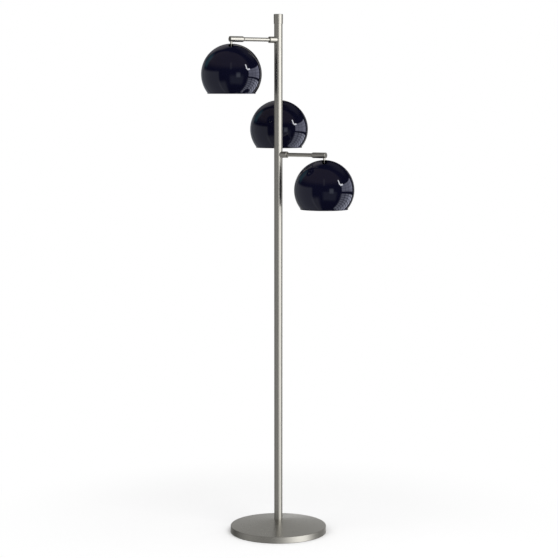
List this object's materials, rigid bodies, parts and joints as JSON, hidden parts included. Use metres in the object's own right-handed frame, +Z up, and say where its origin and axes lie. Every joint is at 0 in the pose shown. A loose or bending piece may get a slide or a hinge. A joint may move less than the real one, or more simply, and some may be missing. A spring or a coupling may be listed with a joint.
{
  "type": "tree floor lamp",
  "caption": "Floor lamp with a round domed base, a slim pole and short side arms at rising heights, each holding a ball shade open below that pans and tilts.",
  "frame": {"origin": "middle of the base's underside, on the floor", "axes": "+Z up along the pole, -Y towards the front that the picture shows, +X to its right"},
  "size_m": [0.4581, 0.421, 1.592],
  "materials": {
    "brushed_nickel": "satin brushed nickel",
    "cast_iron": "raw casting",
    "felt": "dense felt",
    "zinc_steel": "bright zinc plate",
    "rubber": "moulded rubber",
    "switch_plastic": "moulded",
    "shaft_brass": "machined",
    "bright_nickel": "bright nickel on steel tube",
    "socket_plastic": "moulded, black",
    "shade_enamel": "high gloss dark navy, inside and out",
    "bulb_glass": "opal",
    "lead_cover": "insulated flex"
  },
  "bodies": {
    "stand": {"base_cover": "brushed_nickel", "base_weight": "cast_iron", "base_pad": "felt", "clamp_washer": "zinc_steel", "clamp_nut": "zinc_steel", "pole_spigot": "zinc_steel", "cord_grommet": "rubber", "pole_lower": "brushed_nickel", "pole_middle": "brushed_nickel", "pole_upper": "brushed_nickel", "pole_couplers": "zinc_steel", "switch_carrier": "zinc_steel", "switch_body": "switch_plastic", "switch_nut": "zinc_steel", "arm_weld_nuts": "zinc_steel", "upper_collar": "brushed_nickel", "upper_rod": "brushed_nickel", "upper_sleeve": "brushed_nickel", "upper_end_plug": "brushed_nickel", "upper_arm_lead": "lead_cover", "middle_collar": "brushed_nickel", "middle_rod": "brushed_nickel", "middle_sleeve": "brushed_nickel", "middle_end_plug": "brushed_nickel", "middle_arm_lead": "lead_cover", "lower_collar": "brushed_nickel", "lower_rod": "brushed_nickel", "lower_sleeve": "brushed_nickel", "lower_end_plug": "brushed_nickel", "lower_arm_lead": "lead_cover"},
    "selector": {"selector_knob": "brushed_nickel", "switch_shaft": "shaft_brass"},
    "upper_swivel": {"upper_stem": "bright_nickel", "upper_yoke": "zinc_steel", "upper_stem_lead": "lead_cover"},
    "upper_head": {"upper_pivot_screws": "zinc_steel", "upper_socket": "socket_plastic", "upper_clamp_ring": "socket_plastic", "upper_spider": "shade_enamel", "upper_shade": "shade_enamel", "upper_bulb": "bulb_glass"},
    "middle_swivel": {"middle_stem": "bright_nickel", "middle_yoke": "zinc_steel", "middle_stem_lead": "lead_cover"},
    "middle_head": {"middle_pivot_screws": "zinc_steel", "middle_socket": "socket_plastic", "middle_clamp_ring": "socket_plastic", "middle_spider": "shade_enamel", "middle_shade": "shade_enamel", "middle_bulb": "bulb_glass"},
    "lower_swivel": {"lower_stem": "bright_nickel", "lower_yoke": "zinc_steel", "lower_stem_lead": "lead_cover"},
    "lower_head": {"lower_pivot_screws": "zinc_steel", "lower_socket": "socket_plastic", "lower_clamp_ring": "socket_plastic", "lower_spider": "shade_enamel", "lower_shade": "shade_enamel", "lower_bulb": "bulb_glass"}
  },
  "joints": [
    {"name": "selector_turn", "type": "hinge", "parent": "stand", "child": "selector", "pos_m": [0, 0, 1.575], "axis": [0, 0, 1], "continuous": true},
    {"name": "upper_pan", "type": "hinge", "parent": "stand", "child": "upper_swivel", "pos_m": [-0.13856, -0.08, 1.515], "axis": [0, 0, 1], "range_deg": [-125, 125]},
    {"name": "upper_tilt", "type": "hinge", "parent": "upper_swivel", "child": "upper_head", "pos_m": [-0.13856, -0.08, 1.431], "axis": [-1, 0, 0], "range_deg": [0, 30]},
    {"name": "middle_pan", "type": "hinge", "parent": "stand", "child": "middle_swivel", "pos_m": [0, 0.16, 1.348], "axis": [0, 0, 1], "range_deg": [-125, 125]},
    {"name": "middle_tilt", "type": "hinge", "parent": "middle_swivel", "child": "middle_head", "pos_m": [0, 0.16, 1.264], "axis": [-1, 0, 0], "range_deg": [0, 30]},
    {"name": "lower_pan", "type": "hinge", "parent": "stand", "child": "lower_swivel", "pos_m": [0.13856, -0.08, 1.17], "axis": [0, 0, 1], "range_deg": [-125, 125]},
    {"name": "lower_tilt", "type": "hinge", "parent": "lower_swivel", "child": "lower_head", "pos_m": [0.13856, -0.08, 1.086], "axis": [-1, 0, 0], "range_deg": [0, 30]}
  ]
}
